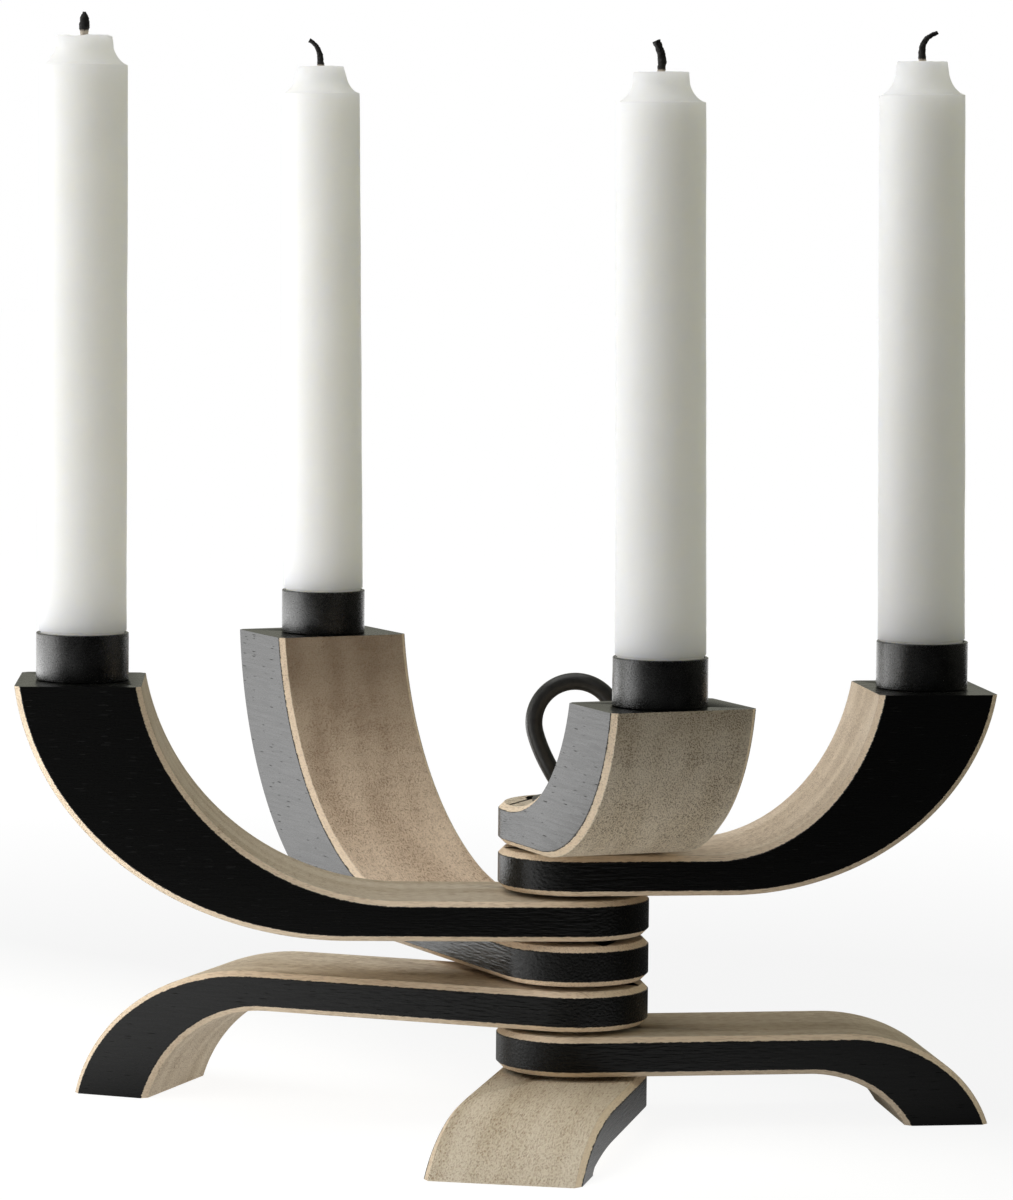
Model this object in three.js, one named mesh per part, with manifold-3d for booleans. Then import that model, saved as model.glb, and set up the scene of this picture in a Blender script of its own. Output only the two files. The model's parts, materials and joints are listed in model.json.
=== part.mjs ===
// Folding candelabra: seven curved wooden bars stacked on one vertical ring bolt.
// Four bars sweep up and carry a steel cup with a crown candle, three sweep down as legs.
// All bars are sawn from one thickness of board and nest inside each other when folded.
// Units are millimetres, +Z is up and the feet stand on Z = 0.

import * as THREE from "three";
import { mergeVertices } from "three/addons/utils/BufferGeometryUtils.js";
import Module from "manifold-3d";

const wasm = await Module();
wasm.setup();

// Bars
const BOARD = 38; // width of every bar, the thickness of the board it is sawn from
const HUB_THICKNESS = 10; // height of a bar at the pivot
const BAR_CHAMFER = 1.5; // chamfer along the long edges and round the pivot end
const HUB_FLOOR_GAP = 2; // from the floor to the lowest bar at the pivot
const END_HEIGHT = 109.3; // height of the arms' top faces above the floor
const HOLLOW_OVERRUN = 11; // how far past a bar's end its hollow curve would stand upright
const BACK_OVERRUN = 8; // how far past a bar's end its back curve would stand upright
const CUT = 1; // how far a cut runs past the face that it opens
const HUB_SIDES = 48; // facets round a pivot end
const CURVE_STEPS = 14; // facets along a curve

// Ring bolt, its washers and nut
const WIRE = 4.3; // diameter of the ring's wire and of the bolt's shank
const RING_RADIUS = 10.3; // centre line of the round part of the ring
const RING_HEIGHT = 18.8; // centre of the ring above its washer
const RING_ROUND = 15; // degrees below its centre to which the ring is round
const RING_LEG = 8; // how far below the round part the ring's legs aim before they close
const RING_STEPS = 36;
const WIRE_SIDES = 12;
const THREAD = 5; // outside diameter of the rolled thread
const THREAD_LENGTH = 14;
const BOLT_STICKS_OUT = 0.6; // below the nut
const BORE_CLEARANCE = 0.35; // between the thread and a bar's bore, on the radius
const RING_WASHER_DIAMETER = 21;
const RING_WASHER_THICKNESS = 1.2;
const WASHER_SEAT_CLEARANCE = 0.3; // round the ring's washer in the front arm, on the radius
const SPACER_DIAMETER = 20;
const SPACER_THICKNESS = 1.2;
const WASHER_SIDES = 28;
const NUT_WASHER_DIAMETER = 10;
const NUT_WASHER_THICKNESS = 1;
const WASHER_BORE_CLEARANCE = 0.2; // between the thread and a washer, on the radius
const NUT_ACROSS_FLATS = 8;
const NUT_HEIGHT = 4.6;
const NUT_COLLAR_HEIGHT = 1.2; // the round locking collar, part of the nut's height
const NUT_CHAMFER = 0.5;
const RECESS_CLEARANCE = 0.6; // round the nut's washer in the lowest leg, on the radius
const THREAD_GAP = 0.05; // between the thread and the nut, on the radius
const FACE_GAP = 0.05; // between flat faces that rest on each other

// Each arm, from the top layer down: the turn about the pivot in degrees, counted from +X; how
// far its end face goes from the middle of its cup, towards the pivot and away from it; where its
// top and its underside leave the flat; how much longer its end was sawn; and how far its cup is
// off the bar's middle line. Every arm reaches one step further than the arm above it.
const ARM_REACH = 53.2; // from the pivot to the middle of the front arm's cup
const REACH_STEP = 34.8;
const ARMS = [
  {
    place: "front", turn: -67.6, inside: 14.1, outside: 13.6,
    topFlat: 1.3, underFlat: 22.4, longer: 0, aside: -0.75,
  },
  {
    place: "right", turn: 7.4, inside: 14.4, outside: 15.5,
    topFlat: 32.6, underFlat: 37, longer: -1, aside: 0,
  },
  {
    place: "left", turn: 182.4, inside: 15.2, outside: 15.9,
    topFlat: 42.7, underFlat: 56.5, longer: 0.6, aside: 0,
  },
  {
    place: "rear", turn: 115.7, inside: 14.4, outside: 15.9,
    topFlat: 61.3, underFlat: 95.3, longer: 0, aside: 0,
  },
];

// Each leg, from the top layer down: its turn, how much shorter it is than the longest one, the
// depth of its foot, and where its faces leave the flat.
const LEG_REACH = 129; // from the pivot to the outer edge of the left leg's foot
const LEGS = [
  { place: "left", turn: 159.7, shorter: 0, foot: 20.5, topFlat: 79.8, underFlat: 76 },
  { place: "right", turn: 8.1, shorter: 26, foot: 21.2, topFlat: 66.6, underFlat: 57.3 },
  { place: "front", turn: -101.4, shorter: 41, foot: 17.5, topFlat: 44, underFlat: 46 },
];

// Cups and their screws
const CUP_DIAMETER = 23;
const CUP_HEIGHT = 11.8;
const CUP_WALL = 0.8;
const CUP_FLOOR = 1.2;
const CUP_EDGE = 0.3; // broken edge at the rim and the foot
const CUP_SIDES = 32;
const SCREW_SHANK = 3;
const SCREW_LENGTH = 18; // under the head
const SCREW_POINT = 4;
const SCREW_DOME_STEPS = 4;
const SCREW_HEAD = 6.6;
const SCREW_HEAD_HEIGHT = 2;
const SCREW_SLOT = 0.9;
const SCREW_SLOT_DEPTH = 0.9;
const SCREW_CLEARANCE = 0.3; // round the shank, on the radius
const PILOT_SPARE = 1; // depth of the pilot hole past the screw's point
const SCREW_SIDES = 16;

// Candles and wicks
const CANDLE_FOOT = 21.9; // diameter of the candle just above the cup
const CANDLE_SHOULDER = 21.4; // diameter under the shoulder
const PLUG_CLEARANCE = 0.3; // between the shaved end and the cup, on the radius
const PLUG_TAPER = 0.25; // the shaved end narrows by this much on the radius
const CANDLE_LIFT = 0.35; // under the shaved end and under the step that rests on the rim
const NECK = 12.6; // diameter of the candle's neck at its top
const NECK_FLARE = 0.5; // the neck is this much wider on the radius where the shoulder starts
const NECK_EDGE = 0.8; // rounding at the neck's top
const SHOULDER_SHARE = 0.7; // of the shoulder's height, taken by its hollow curve
const CANDLE_SIDES = 32;
const SHOULDER_STEPS = 4;
const WICK = 2.2;
const WICK_CLEARANCE = 0.3; // between the wick and its bore, on the radius
const WICK_SIDES = 8;
const WICK_STEPS = 10;

// Each candle: its height above the rim, the height of its shoulder, and the wick's bend,
// as steps sideways (X in the room) and up from the neck's top.
const CANDLE_HEIGHT = 145;
const CANDLES = {
  front: { height: CANDLE_HEIGHT - 5.7, shoulder: 6.9, wick: [[0.3, 3], [-0.6, 5.8], [-1.4, 7.6]] },
  right: { height: CANDLE_HEIGHT, shoulder: 8.4, wick: [[0.1, 3], [0.7, 5.2], [3.6, 7.2]] },
  left: { height: CANDLE_HEIGHT + 2.1, shoulder: 6.9, wick: [[0.5, 2.4], [0.5, 4.4], [0.1, 6.2]] },
  rear: { height: CANDLE_HEIGHT - 0.7, shoulder: 7.4, wick: [[-0.8, 2.8], [-2.1, 5.4], [-3.6, 7.8]] },
};

// Colours
const finish = (color, roughness, metalness) => ({ color, roughness, metalness });
const WOOD = finish(0xcdb795, 0.6, 0);
const BLACK_STEEL = finish(0x1b1c1d, 0.42, 0.8);
const ZINC = finish(0x9a9ca0, 0.35, 0.9);
const WAX = finish(0xf1f1ea, 0.45, 0);
const WICK_BLACK = finish(0x24211e, 0.9, 0);

const BOLT_BORE = THREAD / 2 + BORE_CLEARANCE;
const SCREW_HOLE = SCREW_SHANK / 2 + SCREW_CLEARANCE;
const WASHER_BORE = THREAD / 2 + WASHER_BORE_CLEARANCE;
const LAYER = HUB_THICKNESS + SPACER_THICKNESS + 2 * FACE_GAP;
const LAYERS = ARMS.length + LEGS.length;
const RECESS_RADIUS = NUT_WASHER_DIAMETER / 2 + RECESS_CLEARANCE;
const RECESS_DEPTH = NUT_WASHER_THICKNESS + NUT_HEIGHT + BOLT_STICKS_OUT + 2 * FACE_GAP;
const STACK_TOP = HUB_FLOOR_GAP + LAYERS * LAYER - (LAYER - HUB_THICKNESS);
const RING_SEAT = STACK_TOP + RING_WASHER_THICKNESS + 2 * FACE_GAP;
const NUT_BASE = HUB_FLOOR_GAP + BOLT_STICKS_OUT;
const PLUG_DEPTH = CUP_HEIGHT - CUP_FLOOR - FACE_GAP - SCREW_HEAD_HEIGHT - CANDLE_LIFT;

// Underside of a layer at the pivot, with layer 0 at the bottom.
function layerBase(layer) {
  return HUB_FLOOR_GAP + layer * LAYER;
}

function toSolid(geometry) {
  const plain = geometry.clone();
  plain.deleteAttribute("normal");
  plain.deleteAttribute("uv");
  const merged = mergeVertices(plain, 1e-4);
  const vertProperties = new Float32Array(merged.attributes.position.array);
  const triVerts = new Uint32Array(merged.index.array);
  return new wasm.Manifold(new wasm.Mesh({ numProp: 3, vertProperties, triVerts }));
}

function toGeometry(solid) {
  const mesh = solid.getMesh();
  const geometry = new THREE.BufferGeometry();
  geometry.setAttribute("position", new THREE.BufferAttribute(mesh.vertProperties, 3));
  geometry.setIndex(new THREE.BufferAttribute(mesh.triVerts, 1));
  geometry.computeVertexNormals();
  return geometry;
}

// A solid of revolution about Z from a list of [radius, height].
function turned(outline, sides) {
  const points = outline.map(([radius, height]) => new THREE.Vector2(radius, height));
  return new THREE.LatheGeometry(points, sides).rotateX(Math.PI / 2);
}

function turnedSolid(outline, sides) {
  return toSolid(turned(outline, sides));
}

function cylinder(radius, low, high, sides) {
  return turnedSolid([[0, low], [radius, low], [radius, high], [0, high]], sides);
}

function washer(diameter, bore, thickness) {
  const outer = diameter / 2;
  return turned([[bore, 0], [outer, 0], [outer, thickness], [bore, thickness], [bore, 0]], WASHER_SIDES);
}

// Points along one face of a bar's side view, each with the direction into the wood. The face
// lies flat out to `flat` at `level`, then follows an ellipse that passes `edge` at the height of
// the bar's end and stands upright at the overrun above it.
function faceLine({ flat, edge, level, rise, overrun, solidSide }) {
  const top = rise + overrun;
  const height = top - level;
  const width = (edge - flat) / Math.sqrt(1 - (overrun / height) ** 2);
  const line = [{ at: new THREE.Vector2(0, level), into: new THREE.Vector2(0, solidSide) }];
  for (let step = 0; step <= CURVE_STEPS; step += 1) {
    const angle = (step / CURVE_STEPS) * (Math.PI / 2);
    const at = new THREE.Vector2(flat + width * Math.sin(angle), top - height * Math.cos(angle));
    const outwards = new THREE.Vector2(Math.sin(angle) / width, -Math.cos(angle) / height);
    line.push({ at, into: outwards.normalize().multiplyScalar(-solidSide) });
  }
  return line;
}

// Eight points round a bar, anticlockwise as its end is looked at: the two faces are narrower
// than the board by the chamfers, and the painted sides are lower by them.
function section(back, hollow) {
  const side = BOARD / 2;
  const face = side - BAR_CHAMFER;
  const backInset = back.at.clone().addScaledVector(back.into, BAR_CHAMFER);
  const hollowInset = hollow.at.clone().addScaledVector(hollow.into, BAR_CHAMFER);
  const half = [[back.at, face], [backInset, side], [hollowInset, side], [hollow.at, face]];
  const other = half.map(([point, across]) => [point, -across]).reverse();
  return [...half, ...other].map(([point, across]) => [point.x, across, point.y]);
}

// A closed skin over a row of sections with the same number of points.
function loft(sections) {
  const count = sections[0].length;
  const index = [];
  for (let row = 0; row < sections.length - 1; row += 1) {
    for (let corner = 0; corner < count; corner += 1) {
      const near = row * count + corner;
      const nearNext = row * count + ((corner + 1) % count);
      index.push(near, nearNext, nearNext + count, near, nearNext + count, near + count);
    }
  }
  const last = (sections.length - 1) * count;
  for (let corner = 1; corner < count - 1; corner += 1) {
    index.push(0, corner + 1, corner, last, last + corner, last + corner + 1);
  }
  const geometry = new THREE.BufferGeometry();
  geometry.setAttribute("position", new THREE.Float32BufferAttribute(sections.flat(2), 3));
  geometry.setIndex(index);
  return geometry;
}

// The pivot end: a chamfered disc as wide as the board.
function hub() {
  const radius = BOARD / 2;
  const outline = [
    [0, 0],
    [radius - BAR_CHAMFER, 0],
    [radius, BAR_CHAMFER],
    [radius, HUB_THICKNESS - BAR_CHAMFER],
    [radius - BAR_CHAMFER, HUB_THICKNESS],
    [0, HUB_THICKNESS],
  ];
  return turnedSolid(outline, HUB_SIDES);
}

// A bar with its pivot on the Z axis, lying between 0 and the hub's thickness. It runs along +X
// and sweeps up to the end face at `rise`, which cuts its chamfers off square.
function bar({ hollowFlat, hollowEdge, backFlat, backEdge, rise }) {
  const back = faceLine({
    flat: backFlat, edge: backEdge, level: 0, rise, overrun: BACK_OVERRUN, solidSide: 1,
  });
  const hollow = faceLine({
    flat: hollowFlat,
    edge: hollowEdge,
    level: HUB_THICKNESS,
    rise,
    overrun: HOLLOW_OVERRUN,
    solidSide: -1,
  });
  const sawn = toSolid(loft(back.map((station, row) => section(station, hollow[row]))));
  const reachBeyond = BACK_OVERRUN + HOLLOW_OVERRUN;
  const above = new THREE.BoxGeometry(4 * backEdge, 2 * BOARD, 2 * reachBeyond);
  above.translate(0, 0, rise + reachBeyond);
  const bore = cylinder(BOLT_BORE, -CUT, HUB_THICKNESS + CUT, WASHER_SIDES);
  return sawn.subtract(toSolid(above)).add(hub()).subtract(bore);
}

// The ring's washer lies in a round seat, bored down to the hub's top where the wood rises.
function washerSeat(end) {
  const radius = RING_WASHER_DIAMETER / 2 + WASHER_SEAT_CLEARANCE;
  return cylinder(radius, HUB_THICKNESS, end, WASHER_SIDES);
}

function armSolid(arm, reach, layer) {
  const end = END_HEIGHT + arm.longer - layerBase(layer);
  let solid = bar({
    hollowFlat: arm.topFlat,
    hollowEdge: reach - arm.inside,
    backFlat: arm.underFlat,
    backEdge: reach + arm.outside,
    rise: end,
  });
  if (layer === LAYERS - 1) solid = solid.subtract(washerSeat(end));
  const pilotFloor = end + CUP_FLOOR + 2 * FACE_GAP - SCREW_LENGTH - PILOT_SPARE;
  const pilot = cylinder(SCREW_HOLE, pilotFloor, end + CUT, SCREW_SIDES);
  return solid.subtract(pilot.translate([reach, arm.aside, 0]));
}

// A leg is a bar turned over about its length, so that it sweeps down to the floor.
function legSolid(leg, layer) {
  const outer = LEG_REACH - leg.shorter;
  const solid = bar({
    hollowFlat: leg.underFlat,
    hollowEdge: outer - leg.foot,
    backFlat: leg.topFlat,
    backEdge: outer,
    rise: layerBase(layer) + HUB_THICKNESS,
  }).rotate([180, 0, 0]).translate([0, 0, HUB_THICKNESS]);
  if (layer > 0) return solid;
  return solid.subtract(cylinder(RECESS_RADIUS, -CUT, RECESS_DEPTH, WASHER_SIDES));
}

// Teardrop ring: a round bend whose two legs run together at the washer.
function ringCurve() {
  const below = THREE.MathUtils.degToRad(RING_ROUND);
  const at = (angle) => new THREE.Vector3(
    RING_RADIUS * Math.cos(angle),
    0,
    RING_HEIGHT + RING_RADIUS * Math.sin(angle),
  );
  const foot = new THREE.Vector3(0, 0, -WIRE / 2);
  const right = at(-below);
  const knee = new THREE.Vector3(-Math.sin(below), 0, -Math.cos(below));
  knee.multiplyScalar(RING_LEG).add(right);
  const round = new THREE.Curve();
  round.getPoint = (t) => at(t * (Math.PI + 2 * below) - below);
  const mirrored = (point) => point.clone().setX(-point.x);
  const bend = new THREE.CurvePath();
  bend.add(new THREE.QuadraticBezierCurve3(foot, knee, right));
  bend.add(round);
  bend.add(new THREE.QuadraticBezierCurve3(mirrored(right), mirrored(knee), foot));
  return bend;
}

function roundSection(radius, sides) {
  const circle = new THREE.EllipseCurve(0, 0, radius, radius, 0, 2 * Math.PI);
  return new THREE.Shape(circle.getPoints(sides).slice(0, -1));
}

function wireAlong(curve, diameter, steps, sides) {
  return toSolid(new THREE.ExtrudeGeometry(roundSection(diameter / 2, sides), {
    steps,
    bevelEnabled: false,
    extrudePath: curve,
  }));
}

// The ring bolt, with Z = 0 on the washer that its ring sits on.
function ringBolt() {
  const tip = NUT_BASE - BOLT_STICKS_OUT - RING_SEAT;
  const ring = wireAlong(ringCurve(), WIRE, RING_STEPS, WIRE_SIDES);
  const below = new THREE.BoxGeometry(4 * WIRE, 4 * WIRE, 4 * WIRE).translate(0, 0, -2 * WIRE);
  const shank = turnedSolid([
    [0, tip],
    [THREAD / 2 - NUT_CHAMFER, tip],
    [THREAD / 2, tip + NUT_CHAMFER],
    [THREAD / 2, tip + THREAD_LENGTH],
    [WIRE / 2, tip + THREAD_LENGTH + NUT_CHAMFER],
    [WIRE / 2, WIRE],
    [0, WIRE],
  ], WIRE_SIDES);
  return ring.subtract(toSolid(below)).add(shank);
}

// Hexagon nut with a round locking collar underneath and chamfered corners.
function lockNut() {
  const corner = NUT_ACROSS_FLATS / 2 / Math.cos(Math.PI / 6);
  const flat = NUT_ACROSS_FLATS / 2;
  const hexagon = turnedSolid([
    [0, NUT_COLLAR_HEIGHT],
    [corner, NUT_COLLAR_HEIGHT],
    [corner, NUT_HEIGHT],
    [0, NUT_HEIGHT],
  ], 6);
  const envelope = turnedSolid([
    [0, 0],
    [flat - NUT_CHAMFER, 0],
    [flat - NUT_CHAMFER / 2, NUT_COLLAR_HEIGHT],
    [corner, NUT_COLLAR_HEIGHT + NUT_CHAMFER],
    [corner, NUT_HEIGHT - NUT_CHAMFER],
    [flat, NUT_HEIGHT],
    [0, NUT_HEIGHT],
  ], WASHER_SIDES);
  const collar = cylinder(flat - NUT_CHAMFER, 0, NUT_COLLAR_HEIGHT + NUT_CHAMFER, WASHER_SIDES);
  const bore = cylinder(THREAD / 2 + THREAD_GAP, -CUT, NUT_HEIGHT + CUT, WASHER_SIDES);
  return hexagon.intersect(envelope).add(collar).subtract(bore);
}

// Steel cup with Z = 0 under its floor, and a hole for its screw.
function cup() {
  const outer = CUP_DIAMETER / 2;
  const inner = outer - CUP_WALL;
  return turned([
    [SCREW_HOLE, 0],
    [outer - CUP_EDGE, 0],
    [outer, CUP_EDGE],
    [outer, CUP_HEIGHT - CUP_EDGE],
    [outer - CUP_EDGE, CUP_HEIGHT],
    [inner, CUP_HEIGHT],
    [inner, CUP_FLOOR],
    [SCREW_HOLE, CUP_FLOOR],
    [SCREW_HOLE, 0],
  ], CUP_SIDES);
}

// Slotted round-head wood screw with Z = 0 under its domed head.
function cupScrew() {
  const shank = SCREW_SHANK / 2;
  const outline = [[0, -SCREW_LENGTH], [shank, SCREW_POINT - SCREW_LENGTH], [shank, 0]];
  for (let step = 0; step < SCREW_DOME_STEPS; step += 1) {
    const angle = (step / SCREW_DOME_STEPS) * (Math.PI / 2);
    outline.push([(SCREW_HEAD / 2) * Math.cos(angle), SCREW_HEAD_HEIGHT * Math.sin(angle)]);
  }
  outline.push([0, SCREW_HEAD_HEIGHT]);
  const body = turnedSolid(outline, SCREW_SIDES);
  const slot = new THREE.BoxGeometry(2 * SCREW_HEAD, SCREW_SLOT, 2 * SCREW_SLOT_DEPTH);
  return body.subtract(toSolid(slot.translate(0, 0, SCREW_HEAD_HEIGHT)));
}

// Crown candle with Z = 0 at the cup's rim and a bore for its wick.
function candle({ height, shoulder }) {
  const plug = CUP_DIAMETER / 2 - CUP_WALL - PLUG_CLEARANCE;
  const bore = WICK / 2 + WICK_CLEARANCE;
  const neckLow = NECK / 2 + NECK_FLARE;
  const full = CANDLE_SHOULDER / 2;
  const outline = [
    [bore, -PLUG_DEPTH],
    [plug - PLUG_TAPER, -PLUG_DEPTH],
    [plug, CANDLE_LIFT],
    [CANDLE_FOOT / 2, CANDLE_LIFT],
    [full, height - shoulder],
  ];
  for (let step = 1; step <= SHOULDER_STEPS; step += 1) {
    const angle = (step / SHOULDER_STEPS) * (Math.PI / 2);
    const radius = neckLow + (full - neckLow) * (1 - Math.sin(angle));
    const climb = shoulder * SHOULDER_SHARE * (1 - Math.cos(angle));
    outline.push([radius, height - shoulder + climb]);
  }
  outline.push([NECK / 2, height - NECK_EDGE]);
  outline.push([NECK / 2 - NECK_EDGE, height]);
  outline.push([bore, height]);
  outline.push([bore, -PLUG_DEPTH]);
  return turned(outline, CANDLE_SIDES);
}

// Wick: straight through the candle, with a bent, burnt end that leans in the room's X.
function wick({ height, wick: bends }) {
  const straight = cylinder(WICK / 2, -PLUG_DEPTH, height, WICK_SIDES);
  const points = [new THREE.Vector3(0, 0, height - WICK)];
  points.push(new THREE.Vector3(0, 0, height));
  for (const [across, up] of bends) points.push(new THREE.Vector3(across, 0, height + up));
  const end = new THREE.CatmullRomCurve3(points, false, "centripetal");
  return straight.add(wireAlong(end, WICK, WICK_STEPS, WICK_SIDES));
}

function mesh(name, shape, look) {
  const geometry = shape.isBufferGeometry ? shape : toGeometry(shape);
  const made = new THREE.Mesh(geometry, new THREE.MeshStandardMaterial(look));
  made.name = name;
  return made;
}

function placed(object, height) {
  object.position.z = height;
  return object;
}

function turnedGroup(degrees) {
  const group = new THREE.Group();
  group.rotation.z = THREE.MathUtils.degToRad(degrees);
  return group;
}

// One arm with its cup, screw, candle and wick, counted from the top layer down.
function armGroup(arm, index) {
  const layer = LAYERS - 1 - index;
  const group = turnedGroup(arm.turn);
  const { place } = arm;
  const reach = ARM_REACH + index * REACH_STEP;
  const made = CANDLES[place];
  const seat = END_HEIGHT + arm.longer + FACE_GAP;
  const rim = seat + CUP_HEIGHT;
  group.add(placed(mesh(`arm_${place}`, armSolid(arm, reach, layer), WOOD), layerBase(layer)));
  const holder = new THREE.Group();
  holder.position.set(reach, arm.aside, 0);
  holder.add(placed(mesh(`cup_${place}`, cup(), BLACK_STEEL), seat));
  const screw = mesh(`cup_screw_${place}`, cupScrew(), ZINC);
  holder.add(placed(screw, seat + CUP_FLOOR + FACE_GAP));
  holder.add(placed(mesh(`candle_${place}`, candle(made), WAX), rim));
  const burnt = placed(mesh(`wick_${place}`, wick(made), WICK_BLACK), rim);
  burnt.rotation.z = -group.rotation.z;
  holder.add(burnt);
  group.add(holder);
  return group;
}

function spindle() {
  const group = new THREE.Group();
  group.add(placed(mesh("ring_bolt", ringBolt(), BLACK_STEEL), RING_SEAT));
  const ringWasher = washer(RING_WASHER_DIAMETER, WASHER_BORE, RING_WASHER_THICKNESS);
  group.add(placed(mesh("ring_washer", ringWasher, BLACK_STEEL), STACK_TOP + FACE_GAP));
  for (let layer = 1; layer < LAYERS; layer += 1) {
    const shape = washer(SPACER_DIAMETER, WASHER_BORE, SPACER_THICKNESS);
    const spacer = mesh(`spacer_washer_${layer}`, shape, ZINC);
    group.add(placed(spacer, layerBase(layer) - SPACER_THICKNESS - FACE_GAP));
  }
  const nutWasher = washer(NUT_WASHER_DIAMETER, WASHER_BORE, NUT_WASHER_THICKNESS);
  const nutTop = NUT_BASE + NUT_HEIGHT;
  group.add(placed(mesh("nut_washer", nutWasher, ZINC), nutTop + FACE_GAP));
  group.add(placed(mesh("lock_nut", lockNut(), ZINC), NUT_BASE));
  return group;
}

const candelabra = new THREE.Group();
candelabra.add(spindle());
ARMS.forEach((arm, index) => candelabra.add(armGroup(arm, index)));
LEGS.forEach((leg, index) => {
  const layer = LEGS.length - 1 - index;
  const group = turnedGroup(leg.turn);
  group.add(placed(mesh(`leg_${leg.place}`, legSolid(leg, layer), WOOD), layerBase(layer)));
  candelabra.add(group);
});

// The origin is the centre of the floor under the whole object.
const extent = new THREE.Box3().setFromObject(candelabra, true);
const middle = extent.getCenter(new THREE.Vector3());
candelabra.position.set(-middle.x, -middle.y, -extent.min.z);
candelabra.updateMatrixWorld(true);

export default candelabra;
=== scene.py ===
"""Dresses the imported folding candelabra: seven sawn and painted bars on one ring bolt, with
four steel cups, four crown candles and their wicks, on a pale studio floor."""

import json
import math
from collections import namedtuple

import bmesh
import bpy
from bpy.props import FloatProperty, FloatVectorProperty, IntProperty, PointerProperty
from mathutils import Matrix, Vector, noise


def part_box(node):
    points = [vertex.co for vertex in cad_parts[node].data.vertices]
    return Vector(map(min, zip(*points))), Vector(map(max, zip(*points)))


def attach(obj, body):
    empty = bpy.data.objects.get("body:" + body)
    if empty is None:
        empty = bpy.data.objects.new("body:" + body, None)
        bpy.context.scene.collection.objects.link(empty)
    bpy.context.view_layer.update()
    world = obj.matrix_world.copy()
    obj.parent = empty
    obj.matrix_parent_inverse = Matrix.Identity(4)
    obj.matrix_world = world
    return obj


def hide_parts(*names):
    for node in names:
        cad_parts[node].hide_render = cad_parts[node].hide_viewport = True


bl_info = {
    "name": "Folding candelabra",
    "version": (1, 0, 0),
    "blender": (4, 5, 0),
    "location": "3D View > Sidebar > Candelabra",
    "description": "Dresses the packed folding candelabra with detailed pieces and finishes",
    "category": "Object",
}

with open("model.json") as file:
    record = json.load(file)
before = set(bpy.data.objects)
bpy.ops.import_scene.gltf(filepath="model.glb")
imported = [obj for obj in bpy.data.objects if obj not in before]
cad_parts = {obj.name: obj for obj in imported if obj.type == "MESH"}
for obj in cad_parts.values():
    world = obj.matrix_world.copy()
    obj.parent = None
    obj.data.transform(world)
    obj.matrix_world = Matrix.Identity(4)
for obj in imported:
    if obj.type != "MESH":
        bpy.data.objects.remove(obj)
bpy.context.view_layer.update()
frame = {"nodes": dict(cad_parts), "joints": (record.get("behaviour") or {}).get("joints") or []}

MM = 0.001
PLACES = ("front", "right", "left", "rear")
SPACERS = 6
# Millimetres: how much too long a bar is until its end is sawn off, the distance at which corners
# become one, and how far off a corner may be and still count as in its place
END_SPARE = 2
MERGED = 1e-4
NEAR = 1e-3
# Facets round a turned piece, and round a bore or a shank
TURNED = 96
BORED = 48
# Material slots of a bar
PAINTED = 0
SAWN = 1

# A bar's side view in millimetres from the pivot: where each face leaves the flat, and where it
# ends. The turn is in degrees from +X. Then come how much redder its board is than the palest one;
# how much darker the bar is made, partly its board's own tone and partly painted shade where the
# other bars shade it; how much more painted shade darkens it towards its free end; and how dark
# its pores are.
BarShape = namedtuple(
    "BarShape", "turn hollow_flat hollow_edge back_flat back_edge pink shade end_shade pores"
)
ARMS = {
    "arm_front": BarShape(-67.6, 1.3, 39.1, 22.4, 66.8, 0.1, 0.2, 0.4, 0.8),
    "arm_right": BarShape(7.4, 32.6, 73.6, 37.0, 103.5, 0.45, 0.0, 0.0, 0.4),
    "arm_left": BarShape(182.4, 42.7, 107.6, 56.5, 138.7, 0.1, 0.5, 0.0, 0.4),
    "arm_rear": BarShape(115.7, 61.3, 143.2, 95.3, 173.5, 0.9, 0.15, 1.0, 0.6),
}
LEGS = {
    "leg_left": BarShape(159.7, 76.0, 108.5, 79.8, 129.0, 0.25, 0.0, 0.0, 0.3),
    "leg_right": BarShape(8.1, 57.3, 81.8, 66.6, 103.0, 0.2, 0.5, 0.0, 0.3),
    "leg_front": BarShape(-101.4, 46.0, 70.5, 44.0, 88.0, 0.05, 0.15, 0.0, 0.1),
}

# A candle's top in millimetres: height above the rim and height of the shoulder; how hollow the
# shoulder is; the neck's radius at its foot and at its top; and how ragged the top is. Then how
# the candle stands in its cup: its lean to the left in degrees, and how far it is off the middle;
# and how much more of its wick is unburnt than of the others.
CandleShape = namedtuple(
    "CandleShape", "height shoulder hollow neck_low neck_top ragged lean aside pale"
)
CANDLES = {
    "front": CandleShape(139.3, 7.2, 0.6, 6.9, 6.65, 0.15, 0.65, 0.0, 0.0),
    "right": CandleShape(145.0, 8.4, 0.6, 6.7, 6.3, 0.25, 0.85, -0.25, 0.0),
    "left": CandleShape(147.1, 7.0, 0.5, 7.2, 7.0, 0.5, 0.0, 0.0, 0.9),
    "rear": CandleShape(144.3, 7.3, 0.6, 7.1, 6.4, 0.3, 0.69, 0.0, 0.0),
}
# Each wick's bend from the neck's top: millimetres sideways and up, and its thickness there.
WICK_BENDS = {
    "front": ((0.2, 2.5, 1.1), (-0.2, 5.0, 1.0), (-1.2, 7.4, 1.0)),
    "right": ((-0.1, 2.3, 0.95), (0.4, 4.6, 0.8), (1.6, 6.1, 0.65), (3.9, 7.2, 0.5)),
    "left": ((0.0, 2.4, 1.35), (0.0, 4.4, 1.15), (0.0, 6.0, 0.45)),
    "rear": ((-0.1, 2.5, 0.9), (-0.6, 4.6, 0.75), (-1.7, 6.3, 0.6), (-3.1, 7.3, 0.6)),
}

# Where the photograph was taken from, in metres, and how far the camera looks down and is turned,
# in radians
CAMERA_PLACE = (-0.000216, -1.279309, 0.232297)
CAMERA_DOWN = 0.0819
CAMERA_ROLL = 0.010
# The point that the softboxes face
AIM = (0.0, 0.0, 0.12)


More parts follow.
